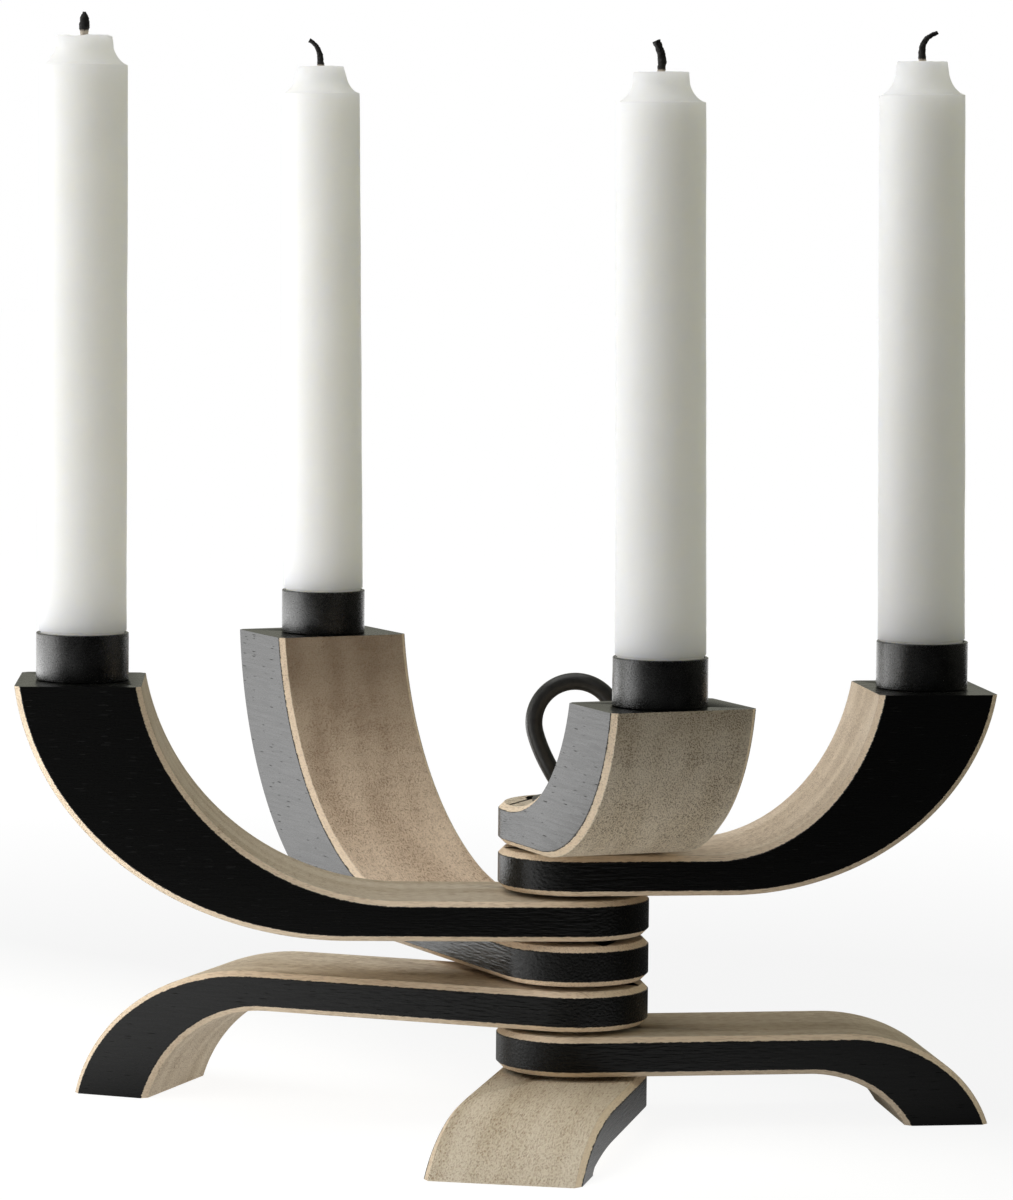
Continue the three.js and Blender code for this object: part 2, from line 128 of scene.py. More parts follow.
def length(name, description, default):
    """A size in metres."""
    return FloatProperty(
        name=name, description=description, default=default, unit="LENGTH", subtype="DISTANCE"
    )


def amount(name, description, default):
    """A plain number."""
    return FloatProperty(name=name, description=description, default=default)


def count(name, description, default):
    """A whole number."""
    return IntProperty(name=name, description=description, default=default)


def colour(name, description, default):
    """A linear colour with alpha 1."""
    return FloatVectorProperty(
        name=name, description=description, default=(*default, 1.0), size=4, subtype="COLOR"
    )


class CANDELABRA_PG_bars(bpy.types.PropertyGroup):
    """Sizes and colours of the arms and legs"""

    board: length("Board", "Width of every bar, the thickness of its board", 0.038)
    hub: length("Hub", "Height of a bar at the pivot", 0.010)
    chamfer: length("Chamfer", "Chamfer along the long edges and round the pivot end", 0.0015)
    hollow_overrun: length(
        "Hollow overrun", "How far past a bar's end its hollow would stand upright", 0.011
    )
    back_overrun: length(
        "Back overrun", "How far past a bar's end its back would stand upright", 0.008
    )
    bolt_bore: length("Bolt bore", "Diameter of the bore for the bolt", 0.0057)
    washer_seat: length("Washer seat", "Diameter of the seat of the ring's washer", 0.0216)
    recess: length("Nut recess", "Diameter of the nut's recess in the lowest leg", 0.0112)
    recess_depth: length("Recess depth", "Depth of the nut's recess", 0.0063)
    pilot: length("Pilot hole", "Diameter of the hole for a cup's screw", 0.0036)
    pilot_depth: length("Pilot depth", "Depth of the hole for a cup's screw", 0.0177)
    curve_steps: count("Curve steps", "Facets along a sawn curve", 72)
    round_steps: count("Round steps", "Facets in a corner of the pivot end", 24)
    paint: colour("Paint", "Black paint on the sides and ends", (0.0032, 0.0032, 0.003))
    wood_pale: colour("Pale wood", "Lightest tone of the sawn faces", (0.96, 0.85, 0.67))
    wood_tan: colour("Tan wood", "Darker bands of the sawn faces", (0.76, 0.64, 0.45))
    wood_pink: colour("Pink wood", "Tone of the redder boards", (0.92, 0.72, 0.54))
    wood_red: colour("Red wood", "Darker bands of the redder boards", (0.66, 0.48, 0.34))
    # Colour that a bar's darkness multiplies in: its board's own darker tone, and painted shade
    dark_wood_and_shade: colour("Dark wood", "Multiplies the darkest board's colours", (0.45, 0.44, 0.42))
    chamfer_wood: colour("Chamfer wood", "Freshly cut wood of the chamfers", (0.98, 0.79, 0.575))
    wood_pore: colour("Pores", "Open pores of the darkest boards", (0.12, 0.065, 0.035))
    pore_tan: colour("Tan pores", "Pores of the palest boards", (0.50, 0.32, 0.18))
    dust: colour("Dust", "Dust in the paint", (0.16, 0.155, 0.14))


class CANDELABRA_PG_cups(bpy.types.PropertyGroup):
    """Sizes and colours of the cups"""

    diameter: length("Diameter", "Outside diameter of a cup", 0.023)
    height: length("Height", "Height of a cup", 0.0118)
    wall: length("Wall", "Thickness of a cup's wall", 0.0008)
    floor: length("Floor", "Thickness of a cup's floor", 0.0012)
    edge: length("Edge", "Rounding of a cup's rim and foot", 0.0003)
    screw_hole: length("Screw hole", "Diameter of the hole in a cup's floor", 0.0036)
    steel: colour("Steel", "Blackened steel", (0.003, 0.003, 0.0029))
    bloom: colour("Bloom", "Greyer patches of the blackening", (0.011, 0.011, 0.0105))


class CANDELABRA_PG_candles(bpy.types.PropertyGroup):
    """Sizes and colours of the candles and wicks"""

    foot: length("Foot", "Diameter just above the cup", 0.0219)
    shoulder: length("Shoulder", "Diameter under the shoulder", 0.0214)
    plug: length("Plug", "Diameter of the shaved end in the cup", 0.0208)
    plug_depth: length("Plug depth", "Depth of the shaved end", 0.0082)
    lift: length("Lift", "Gap between the candle's step and the cup's rim", 0.00035)
    wick: length("Wick", "Diameter of a wick", 0.0019)
    wax: colour("Wax", "White wax", (0.86, 0.86, 0.83))
    haze: colour("Haze", "Darker clouds in the wax", (0.80, 0.80, 0.76))
    char: colour("Char", "Burnt wick", (0.008, 0.0075, 0.007))
    ash: colour("Ash", "Greyer fibres of a burnt wick", (0.07, 0.06, 0.05))
    cotton: colour("Cotton", "Unburnt foot of a wick", (0.55, 0.48, 0.40))


class CANDELABRA_PG_spindle(bpy.types.PropertyGroup):
    """Sizes and colours of the ring bolt and its hardware"""

    wire: length("Wire", "Diameter of the ring's wire", 0.0043)
    ring_radius: length("Ring radius", "Radius of the ring's centre line", 0.0103)
    ring_height: length("Ring height", "Centre of the ring above its washer", 0.0188)
    ring_leg: length("Ring leg", "How far the ring's legs aim before they close", 0.008)
    thread: length("Thread", "Diameter of the rolled thread", 0.005)
    thread_length: length("Thread length", "Length of the thread", 0.014)
    washer: length("Washer", "Diameter of the ring's washer", 0.021)
    washer_bore: length("Washer bore", "Diameter of the washer's bore", 0.0054)
    washer_thickness: length("Washer thickness", "Thickness of the ring's washer", 0.0012)
    washer_edge: length("Washer edge", "Rounding of the washer's rims", 0.0003)
    steel: colour("Steel", "Blackened steel", (0.012, 0.012, 0.012))
    worn: colour("Worn steel", "Paler clouds of the steel", (0.045, 0.044, 0.041))
    zinc: colour("Zinc", "Zinc plating", (0.55, 0.56, 0.58))
    dull: colour("Dull zinc", "Darker clouds of the plating", (0.42, 0.42, 0.42))


class CANDELABRA_PG_stage(bpy.types.PropertyGroup):
    """The floor, the lights and the camera"""

    floor_radius: length("Floor radius", "Radius of the floor", 8.0)
    floor_lit: colour("Lit floor", "What the floor behind the bars reflects", (0.2, 0.2, 0.19))
    floor_dim: colour("Dim floor", "What the floor in front reflects", (0.01, 0.01, 0.01))
    lens: amount("Lens", "Focal length in millimetres", 150.0)
    sensor: amount("Sensor", "Longer side of the picture in millimetres", 36.0)
    key_light: amount("Key light", "Radiance of the left softbox", 1.8)
    left_gloss: amount("Left gloss", "Radiance of the left strip's reflection", 1.6)
    high_light: amount("High light", "Radiance of the high left softbox", 0.65)
    right_light: amount("Right light", "Radiance of the right fill", 1.4)
    top_light: amount("Top light", "Radiance of the overhead softbox", 1.45)
    room_light: amount("Room light", "Radiance of the room", 0.08)
    room_gloss: amount("Room gloss", "How many times brighter its reflection is", 5.0)
    sweep_light: amount("Sweep light", "Light from the backdrop on the left", 1.75)
    sheet_light: amount("Sheet light", "Light from the white sheet on the left", 0.2)
    floor_light: amount("Floor light", "Light that the floor throws up", 0.95)
    fill: colour("Fill", "Tint of the room's light", (1.0, 1.0, 0.84))


# Shapes


def shares(steps):
    """Even shares of 1, from the first step to the last."""
    return [step / steps for step in range(1, steps + 1)]


def spun(outline, steps, closed=False):
    """A solid turned about Z from an outline of (radius, height) in millimetres."""
    shape = bmesh.new()
    corners = [shape.verts.new((radius, 0.0, height)) for radius, height in outline]
    for start, end in zip(corners, corners[1:]):
        shape.edges.new((start, end))
    if closed:
        shape.edges.new((corners[-1], corners[0]))
    bmesh.ops.spin(
        shape, geom=shape.verts[:] + shape.edges[:], axis=(0, 0, 1), angle=2 * math.pi,
        steps=steps, use_merge=True,
    )
    close_up(shape)
    return shape


def close_up(shape):
    """Merges the corners that meet and turns the faces outwards."""
    bmesh.ops.remove_doubles(shape, verts=shape.verts, dist=MERGED)
    bmesh.ops.recalc_face_normals(shape, faces=shape.faces)


def bevel_edges(shape, edges, offset, segments=1):
    """Bevels edges by an offset in millimetres and returns the new faces."""
    made = bmesh.ops.bevel(
        shape, geom=edges, offset=offset, offset_type="OFFSET", segments=segments,
        profile=0.5, affect="EDGES", material=-1,
    )
    return made["faces"]


def round_rims(shape, outer, rounding, segments):
    """Rounds the outer rims of a turned piece."""
    rims = [
        edge for edge in shape.edges
        if abs(edge.verts[0].co.z - edge.verts[1].co.z) < NEAR
        and all(vert.co.xy.length > outer - 10 * NEAR for vert in edge.verts)
    ]
    bevel_edges(shape, rims, rounding, segments)


def add_object(name, data):
    """A new object, linked into the scene."""
    made = bpy.data.objects.new(name, data)
    bpy.context.collection.objects.link(made)
    return made


def to_mesh(shape, name):
    """A new mesh from the shape, which is used up."""
    mesh = bpy.data.meshes.new(name)
    shape.to_mesh(mesh)
    shape.free()
    return mesh


def combined(mesh, other, operation):
    """The mesh after a boolean with the other one, both in the same coordinates."""
    base = add_object("base", mesh)
    tool = add_object("tool", other)
    boolean = base.modifiers.new("cut", "BOOLEAN")
    boolean.operation = operation
    boolean.solver = "EXACT"
    boolean.use_self = operation == "UNION"
    boolean.object = tool
    graph = bpy.context.evaluated_depsgraph_get()
    result = bpy.data.meshes.new_from_object(base.evaluated_get(graph))
    for made in (base, tool):
        bpy.data.objects.remove(made)
    return result


def smooth_with_creases(shape, degrees=32):
    """Smooth faces, with every edge sharper than the given angle marked."""
    limit = math.radians(degrees)
    for face in shape.faces:
        face.smooth = True
    for edge in shape.edges:
        edge.smooth = len(edge.link_faces) == 2 and edge.calc_face_angle(0.0) < limit


def place_piece(shape, name, place, body, node, materials):
    """Turns a shape in millimetres into a piece in metres that stands for a CAD node."""
    shape.transform(place @ Matrix.Scale(MM, 4))
    mesh = to_mesh(shape, name)
    for material in materials:
        mesh.materials.append(material)
    piece = add_object(name, mesh)
    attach(piece, body)
    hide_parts(node)


def wire_curve(name, diameter, rounds):
    """An empty curve with a round section, in millimetres."""
    curve = bpy.data.curves.new(name, "CURVE")
    curve.dimensions = "3D"
    curve.bevel_depth = diameter / 2
    curve.bevel_resolution = rounds
    curve.use_fill_caps = True
    return curve


def wire_mesh(curve):
    """The mesh of a curve with its section."""
    holder = bpy.data.objects.new(curve.name, curve)
    mesh = bpy.data.meshes.new_from_object(holder)
    bpy.data.objects.remove(holder)
    return mesh


def middle(node):
    """Centre of a node seen from above, at the height of its lowest point."""
    low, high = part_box(node)
    return Vector(((low.x + high.x) / 2, (low.y + high.y) / 2, low.z))


def pivot():
    """The bolt's axis at floor level."""
    swing = next(joint for joint in frame["joints"] if joint["name"] == "arm_front_swing")
    return Vector((swing["pos_m"][0], swing["pos_m"][1], 0.0))


def face_line(shape, flat, edge, level, rise, overrun, hub_end):
    """Edges of one sawn face in side view: flat from the pivot end, then along an ellipse, past
    the face's end and a little above it. Returns the first and the last vertex."""
    top = rise + overrun
    height = top - level
    width = (edge - flat) / math.sqrt(1 - (overrun / height) ** 2)
    before = set(shape.verts)
    start = bmesh.ops.create_vert(shape, co=(0, 0, -1))["vert"][0]
    steps = bpy.context.scene.candelabra_bars.curve_steps
    bmesh.ops.spin(shape, geom=[start], axis=(0, -1, 0), angle=math.pi / 2, steps=steps)
    arc = [vert for vert in shape.verts if vert not in before]
    bmesh.ops.scale(shape, vec=(width, 1, height), verts=arc)
    bmesh.ops.translate(shape, vec=(flat, 0, top), verts=arc)
    line = list({edge for vert in arc for edge in vert.link_edges})
    spare = bmesh.ops.bisect_plane(
        shape, geom=arc + line, dist=MERGED, plane_co=(0, 0, rise + END_SPARE),
        plane_no=(0, 0, 1), clear_outer=True,
    )
    last = next(item for item in spare["geom_cut"] if isinstance(item, bmesh.types.BMVert))
    first = bmesh.ops.create_vert(shape, co=(hub_end, 0, level))["vert"][0]
    bmesh.ops.contextual_create(shape, geom=[first, start])
    return first, last


def bar_outline(bar, rise, sizes):
    """A board of a bar's side view, with its pivot on the Z axis, lying between 0 and the hub's
    height and sweeping up along +X. Its sides and pivot end are painted, and so is the far end,
    so that the chamfers stop there."""
    side = sizes.board / MM / 2
    shape = bmesh.new()
    back = face_line(
        shape, bar.back_flat, bar.back_edge, 0.0, rise, sizes.back_overrun / MM, -side
    )
    hollow = face_line(
        shape, bar.hollow_flat, bar.hollow_edge, sizes.hub / MM, rise,
        sizes.hollow_overrun / MM, -side,
    )
    for pair in zip(back, hollow):
        bmesh.ops.contextual_create(shape, geom=list(pair))
    bmesh.ops.contextual_create(shape, geom=shape.edges[:])
    bmesh.ops.translate(shape, vec=(0, -side, 0), verts=shape.verts)
    grown = bmesh.ops.extrude_face_region(shape, geom=shape.faces[:])
    across = [item for item in grown["geom"] if isinstance(item, bmesh.types.BMVert)]
    bmesh.ops.translate(shape, vec=(0, 2 * side, 0), verts=across)
    bmesh.ops.recalc_face_normals(shape, faces=shape.faces)
    for face in shape.faces:
        face.material_index = SAWN
        centre = face.calc_center_median()
        closes_top = face.normal.z > 0.5 and centre.z > rise
        if abs(face.normal.y) > 0.9 or centre.x < NEAR - side or closes_top:
            face.material_index = PAINTED
    return shape


def round_pivot_end(shape, sizes):
    """Rounds the two upright corners of the pivot end into a half circle."""
    side = sizes.board / MM / 2
    corners = [
        edge for edge in shape.edges
        if all(vert.co.x < NEAR - side for vert in edge.verts)
        and abs(edge.verts[0].co.y - edge.verts[1].co.y) < NEAR
    ]
    bevel_edges(shape, corners, side - 10 * NEAR, sizes.round_steps)


def chamfer_long_edges(shape, sizes):
    """Chamfers the edges between painted and sawn faces. The chamfers count as sawn wood."""
    borders = [
        edge for edge in shape.edges
        if {face.material_index for face in edge.link_faces} == {PAINTED, SAWN}
    ]
    for face in bevel_edges(shape, borders, sizes.chamfer / MM):
        face.material_index = SAWN


def saw_end(shape, rise):
    """Cuts the bar square at its end and paints the cut."""
    cut = bmesh.ops.bisect_plane(
        shape, geom=shape.verts[:] + shape.edges[:] + shape.faces[:], dist=MERGED,
        plane_co=(0, 0, rise), plane_no=(0, 0, 1), clear_outer=True,
    )
    rim = [item for item in cut["geom_cut"] if isinstance(item, bmesh.types.BMEdge)]
    made = bmesh.ops.contextual_create(shape, geom=rim)
    for face in made["faces"]:
        face.material_index = PAINTED


def cutter(outline, centre=(0.0, 0.0)):
    """A turned cutter whose walls leave sawn wood."""
    shape = spun(outline, BORED)
    for face in shape.faces:
        face.material_index = SAWN
        face.smooth = True
    bmesh.ops.translate(shape, vec=(*centre, 0.0), verts=shape.verts)
    mesh = to_mesh(shape, "cutter")
    for _ in (PAINTED, SAWN):
        mesh.materials.append(None)
    return mesh


def within(value):
    """The value, kept between 0 and 1."""
    return min(max(value, 0.0), 1.0)


def write_attributes(mesh, number, bar, sizes):
    """Stores the place in the board for the grain, how near a chamfer is to the paint, how much of
    its end grain the pivot end shows, how red and open-pored the board is, and how dark the bar is
    made: its board's own tone and painted shade, with more painted shade towards its free end."""
    side = sizes.board / MM / 2
    chamfer = sizes.chamfer / MM
    offset = Vector((211.0, 57.0, 83.0)) * (number + 1)
    mesh.attributes.new("grain", "FLOAT_VECTOR", "POINT")
    names = ("paint", "hub", "pink", "shade", "pores")
    for name in names:
        mesh.attributes.new(name, "FLOAT", "POINT")
    grain = mesh.attributes["grain"].data
    columns = [mesh.attributes[name].data for name in names]
    top = max(vert.co.z for vert in mesh.vertices)
    for vert in mesh.vertices:
        grain[vert.index].vector = vert.co + offset
        across = abs(vert.co.y) if vert.co.x > 0 else vert.co.xy.length
        # How far up towards its free end a corner stands, which sets the painted shade added there
        up = within(vert.co.z / top * 1.4 - 0.4)
        values = (
            within((across - side) / chamfer + 1),
            within(1 - vert.co.x / side),
            bar.pink,
            min(bar.shade + bar.end_shade * up, 1.0),
            bar.pores,
        )
        for column, value in zip(columns, values):
            column[vert.index].value = value


def make_bar(name, bar, number, materials):
    """One arm or leg, with its bores, in the place of its CAD node."""
    sizes = bpy.context.scene.candelabra_bars
    low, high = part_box(name)
    rise = (high.z - low.z) / MM
    hub = sizes.hub / MM
    shape = bar_outline(bar, rise, sizes)
    round_pivot_end(shape, sizes)
    chamfer_long_edges(shape, sizes)
    saw_end(shape, rise)
    bmesh.ops.recalc_face_normals(shape, faces=shape.faces)
    smooth_with_creases(shape)
    mesh = to_mesh(shape, name)
    for _ in (PAINTED, SAWN):
        mesh.materials.append(None)

    bore = sizes.bolt_bore / MM / 2
    seat = sizes.washer_seat / MM / 2
    recess = sizes.recess / MM / 2
    above = [(bore, hub + 1), (0, hub + 1)]
    if name == "arm_front":
        above = [(bore, hub), (seat, hub), (seat, 2 * rise), (0, 2 * rise)]
    elif name == "leg_front":
        floor = hub - sizes.recess_depth / MM
        above = [(bore, floor), (recess, floor), (recess, hub + 1), (0, hub + 1)]
    mesh = combined(mesh, cutter([(0, -1), (bore, -1), *above]), "DIFFERENCE")
    turn = Matrix.Rotation(math.radians(bar.turn), 4, "Z")
    if name in ARMS:
        cup = turn.inverted() @ ((middle(name.replace("arm", "cup")) - pivot()) / MM)
        pilot = sizes.pilot / MM / 2
        foot = rise - sizes.pilot_depth / MM
        outline = [(0, foot), (pilot, foot), (pilot, rise + 1), (0, rise + 1)]
        mesh = combined(mesh, cutter(outline, (cup.x, cup.y)), "DIFFERENCE")
        place = Matrix.Translation(pivot() + Vector((0, 0, low.z))) @ turn
    else:
        turned_over = Matrix.Translation((0, 0, high.z)) @ Matrix.Rotation(math.pi, 4, "X")
        place = Matrix.Translation(pivot()) @ turn @ turned_over
    write_attributes(mesh, number, bar, sizes)
    shape = bmesh.new()
    shape.from_mesh(mesh)
    place_piece(shape, f"{name}_bar", place, name, name, materials)


def make_cup(place_name, material):
    """A pressed steel cup with a rounded rim and foot."""
    sizes = bpy.context.scene.candelabra_cups
    outer = sizes.diameter / MM / 2
    inner = outer - sizes.wall / MM
    height = sizes.height / MM
    floor = sizes.floor / MM
    hole = sizes.screw_hole / MM / 2
    outline = [
        (hole, 0), (outer, 0), (outer, height), (inner, height), (inner, floor), (hole, floor),
    ]
    shape = spun(outline, TURNED, closed=True)
    round_rims(shape, outer, sizes.edge / MM, 4)
    smooth_with_creases(shape, 40)
    cup = f"cup_{place_name}"
    place = Matrix.Translation(middle(cup))
    place_piece(shape, f"{cup}_shell", place, f"arm_{place_name}", cup, [material])


def candle_outline(candle, sizes):
    """A candle's outline from the foot of its plug up to the middle of its top, with Z = 0 at
    the cup's rim."""
    lift = sizes.lift / MM
    plug = sizes.plug / MM / 2
    foot = sizes.foot / MM / 2
    full = sizes.shoulder / MM / 2
    depth = sizes.plug_depth / MM
    outline = [(0, -depth), (plug - 0.7, -depth), (plug - 0.25, 0.5 - depth), (plug, lift)]
    body_low = lift + 0.3
    outline += [(foot - 0.25, lift), (foot, body_low)]
    shoulder_low = candle.height - candle.shoulder
    for share in shares(40):
        outline.append((
            foot + (full - foot) * share, body_low + (shoulder_low - body_low) * share
        ))
    curve_height = 0.72 * candle.shoulder
    for share in shares(12):
        angle = share * math.pi / 2
        hollow = 1 - math.sin(angle)
        straight = 1 - share
        inwards = candle.hollow * hollow + (1 - candle.hollow) * straight
        up = candle.hollow * (1 - math.cos(angle)) + (1 - candle.hollow) * share * 0.6
        radius = candle.neck_low + (full - candle.neck_low) * inwards
        outline.append((radius, shoulder_low + curve_height * up))
    rounding = 0.25
    neck_foot = outline[-1][1]
    for share in shares(5):
        radius = candle.neck_low + (candle.neck_top - candle.neck_low) * share
        outline.append((radius, neck_foot + (candle.height - rounding - neck_foot) * share))
    for share in shares(4):
        angle = share * math.pi / 2
        outline.append((
            candle.neck_top - rounding * (1 - math.cos(angle)),
            candle.height - rounding * (1 - math.sin(angle)),
        ))
    top = candle.neck_top - rounding
    dip = 0.25
    for share in (0.85, 0.7, 0.55, 0.4, 0.28):
        outline.append((top * share, candle.height - dip * (1 - share)))
    outline += [(1.25, candle.height + 0.1), (0, candle.height + 0.3)]
    return outline


def candle_place(place_name):
    """Where a candle stands: the middle of its cup's rim, with its own small lean."""
    candle = CANDLES[place_name]
    rim = middle(f"candle_{place_name}")
    rim.x += candle.aside * MM
    rim.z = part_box(f"cup_{place_name}")[1].z
    return Matrix.Translation(rim) @ Matrix.Rotation(-math.radians(candle.lean), 4, "Y")


def make_candle(place_name, material):
    """A crown candle whose wax is slightly uneven, most of all round its top."""
    sizes = bpy.context.scene.candelabra_candles
    candle = CANDLES[place_name]
    shape = spun(candle_outline(candle, sizes), TURNED)
    seed = Vector((17.0, 5.0, 31.0)) * (PLACES.index(place_name) + 1)
    ragged_depth = 2.5
    for vert in shape.verts:
        if vert.co.z < 1:
            continue
        soft = noise.noise(vert.co * 0.05 + seed) * 0.1
        near_top = max(0.0, 1 - (candle.height - vert.co.z) / ragged_depth)
        crumbs = noise.noise(vert.co * 0.45 + seed) + 0.5 * noise.noise(vert.co * 1.1 + seed)
        vert.co += vert.normal * (soft + near_top * candle.ragged * crumbs * 0.6)
        vert.co.z += near_top * candle.ragged * noise.noise(vert.co * 0.3 - seed)
    smooth_with_creases(shape, 38)
    name = f"candle_{place_name}"
    place_piece(shape, f"{name}_wax", candle_place(place_name), name, name, [material])


def make_wick(place_name, material):
    """A bent, burnt wick whose foot is still pale with wax."""
    sizes = bpy.context.scene.candelabra_candles
    top = CANDLES[place_name].height
    bends = [(0.0, -1.5, 1.0), (0.0, 0.4, 1.0), *WICK_BENDS[place_name]]
    curve = wire_curve("wick", sizes.wick / MM, 6)
    curve.resolution_u = 16
    spline = curve.splines.new("BEZIER")
    spline.bezier_points.add(len(bends) - 1)
    for point, (across, up, thickness) in zip(spline.bezier_points, bends):
        point.co = (across, 0.0, top + up)
        point.handle_left_type = "AUTO"
        point.handle_right_type = "AUTO"
        point.radius = thickness
    shape = bmesh.new()
    shape.from_mesh(wire_mesh(curve))
    close_up(shape)
    seed = Vector((3.0, 41.0, 7.0)) * (PLACES.index(place_name) + 1)
    for vert in shape.verts:
        beads = noise.noise(vert.co * 1.3 + seed) * 0.16 + noise.noise(vert.co * 3.1 + seed) * 0.14
        vert.co += vert.normal * beads
    smooth_with_creases(shape, 60)
    name = f"wick_{place_name}"
    body = f"candle_{place_name}"
    char = shape.verts.layers.float.new("char")
    for vert in shape.verts:
        vert[char] = vert.co.z - top - CANDLES[place_name].pale
    place_piece(shape, f"{name}_burnt", candle_place(place_name), body, name, [material])


def ring_path(sizes):
    """Centre line of the teardrop ring in millimetres, up from its foot and down to it again."""
    radius = sizes.ring_radius / MM
    height = sizes.ring_height / MM
    leg = sizes.ring_leg / MM
    below = math.radians(15)
    foot = Vector((0, 0, -sizes.wire / MM / 2))
    right = Vector((radius * math.cos(below), 0, height - radius * math.sin(below)))
    knee = right - leg * Vector((math.sin(below), 0, math.cos(below)))
    leg_points = [
        foot.lerp(knee, share).lerp(knee.lerp(right, share), share)
        for share in (0.0, *shares(16)[:-1])
    ]
    bend = []
    for share in (0.0, *shares(72)):
        angle = share * (math.pi + 2 * below) - below
        bend.append(Vector((radius * math.cos(angle), 0, height + radius * math.sin(angle))))
    mirrored = [Vector((-point.x, 0, point.z)) for point in reversed(leg_points)]
    return leg_points + bend + mirrored


def make_ring_bolt(material):
    """The ring and its shank, as one forged piece."""
    sizes = bpy.context.scene.candelabra_spindle
    low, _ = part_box("ring_bolt")
    _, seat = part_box("ring_washer")
    curve = wire_curve("ring", sizes.wire / MM, 10)
    spline = curve.splines.new("POLY")
    path = ring_path(sizes)
    spline.points.add(len(path) - 1)
    for point, at in zip(spline.points, path):
        point.co = (*at, 1.0)
    ring = wire_mesh(curve)
    tip = (low.z - seat.z) / MM
    thread = sizes.thread / MM / 2
    wire = sizes.wire / MM / 2
    thread_top = tip + sizes.thread_length / MM
    outline = [
        (0, tip), (thread - 0.5, tip), (thread, tip + 0.5), (thread, thread_top),
        (wire, thread_top + 0.5), (wire, 2 * wire), (0, 2 * wire),
    ]
    shank = to_mesh(spun(outline, BORED), "shank")
    shape = bmesh.new()
    shape.from_mesh(combined(ring, shank, "UNION"))
    bmesh.ops.remove_doubles(shape, verts=shape.verts, dist=NEAR)
    smooth_with_creases(shape, 40)
    place = Matrix.Translation(pivot() + Vector((0, 0, seat.z)))
    place_piece(shape, "ring_bolt_steel", place, "spindle", "ring_bolt", [material])


def make_ring_washer(material):
    """The flat washer under the ring, with rounded edges."""
    sizes = bpy.context.scene.candelabra_spindle
    outer = sizes.washer / MM / 2
    thickness = sizes.washer_thickness / MM
    bore = sizes.washer_bore / MM / 2
    outline = [(bore, 0), (outer, 0), (outer, thickness), (bore, thickness)]
    shape = spun(outline, TURNED, closed=True)
    round_rims(shape, outer, sizes.washer_edge / MM, 3)
    smooth_with_creases(shape, 40)
    place = Matrix.Translation(middle("ring_washer"))
    place_piece(
        shape, "ring_washer_steel", place, "spindle", "ring_washer", [material]
    )


# Finishes


class Nodes:
    """A node tree with short calls for the nodes that a pattern needs."""

    def __init__(self, tree):
        self.tree = tree

    def node(self, kind, inputs=None, **settings):
        """A node with its settings, and its inputs as values or other nodes' sockets."""
        made = self.tree.nodes.new(kind)
        for key, value in settings.items():
            setattr(made, key, value)
        for key, value in (inputs or {}).items():
            self.feed(made.inputs[key], value)
        return made

    def feed(self, socket, value):
        """Links a socket to another node's one, or sets its value."""
        if isinstance(value, bpy.types.NodeSocket):
            self.tree.links.new(value, socket)
        else:
            socket.default_value = value

    def stretched(self, vector, scale):
        """The place times a scale for each axis."""
        return self.node(
            "ShaderNodeVectorMath", {0: vector, 1: scale}, operation="MULTIPLY"
        ).outputs[0]

    def axes(self, vector):
        """The X, Y and Z of a place."""
        return self.node("ShaderNodeSeparateXYZ", {0: vector}).outputs

    def noise(self, vector, scale=1.0, detail=2.0, roughness=0.5):
        """Soft noise between 0 and 1."""
        return self.node(
            "ShaderNodeTexNoise",
            {"Vector": vector, "Scale": scale, "Detail": detail, "Roughness": roughness},
        ).outputs["Fac"]

    def cells(self, vector, scale=1.0, output="Distance"):
        """The distance to the nearest of many scattered points, or its random colour."""
        return self.node("ShaderNodeTexVoronoi", {"Vector": vector, "Scale": scale}).outputs[output]

    def dots(self, place, chances, reaches, edges, most=1.0):
        """Soft-edged dots, each with a random reach that its cell's chance picks."""
        chance = self.node("ShaderNodeSeparateColor", {0: self.cells(place, output="Color")})
        reach = self.between(chance.outputs[0], *chances, *reaches)
        return self.between(self.minus(reach, self.cells(place)), *edges, 0.0, most)

    def between(self, value, low, high, to_low=0.0, to_high=1.0):
        """The value's place between two limits, clamped."""
        return self.node("ShaderNodeMapRange", {
            "Value": value, "From Min": low, "From Max": high, "To Min": to_low, "To Max": to_high,
        }).outputs["Result"]

    def maths(self, operation, first, second):
        return self.node("ShaderNodeMath", {0: first, 1: second}, operation=operation).outputs[0]

    def plus(self, first, second):
        return self.maths("ADD", first, second)

    def minus(self, first, second):
        return self.maths("SUBTRACT", first, second)

    def times(self, first, second):
        return self.maths("MULTIPLY", first, second)

    def mix(self, share, first, second, blend="MIX"):
        """A mix of two colours."""
        made = self.node("ShaderNodeMix", {"Factor": share}, data_type="RGBA", blend_type=blend)
        colours = [
            socket for socket in made.inputs if socket.name in "AB" and socket.type == "RGBA"
        ]
        for socket, value in zip(colours, (first, second)):
            self.feed(socket, value)
        return next(socket for socket in made.outputs if socket.type == "RGBA")


class Finish(Nodes):
    """A new material with the calls above and its own shader."""

    def __init__(self, name):
        self.material = bpy.data.materials.new(name)
        self.material.use_nodes = True
        super().__init__(self.material.node_tree)
        self.shader = self.tree.nodes["Principled BSDF"]

    def surface(self, **inputs):
        """Sets the shader's sockets, whose names are written with _ for a space."""
        for key, value in inputs.items():
            self.feed(self.shader.inputs[key.replace("_", " ")], value)

    def attribute(self, name, output="Fac"):
        """One of the mesh's own attributes."""
        return self.node("ShaderNodeAttribute", attribute_name=name).outputs[output]

    def place(self):
        """Object coordinates in millimetres."""
        coordinates = self.node("ShaderNodeTexCoord").outputs["Object"]
        return self.stretched(coordinates, (1 / MM, 1 / MM, 1 / MM))

    def bump(self, height, strength, distance):
        """A bump of the given depth in millimetres."""
        return self.node(
            "ShaderNodeBump", {"Height": height, "Strength": strength, "Distance": distance * MM}
        ).outputs["Normal"]


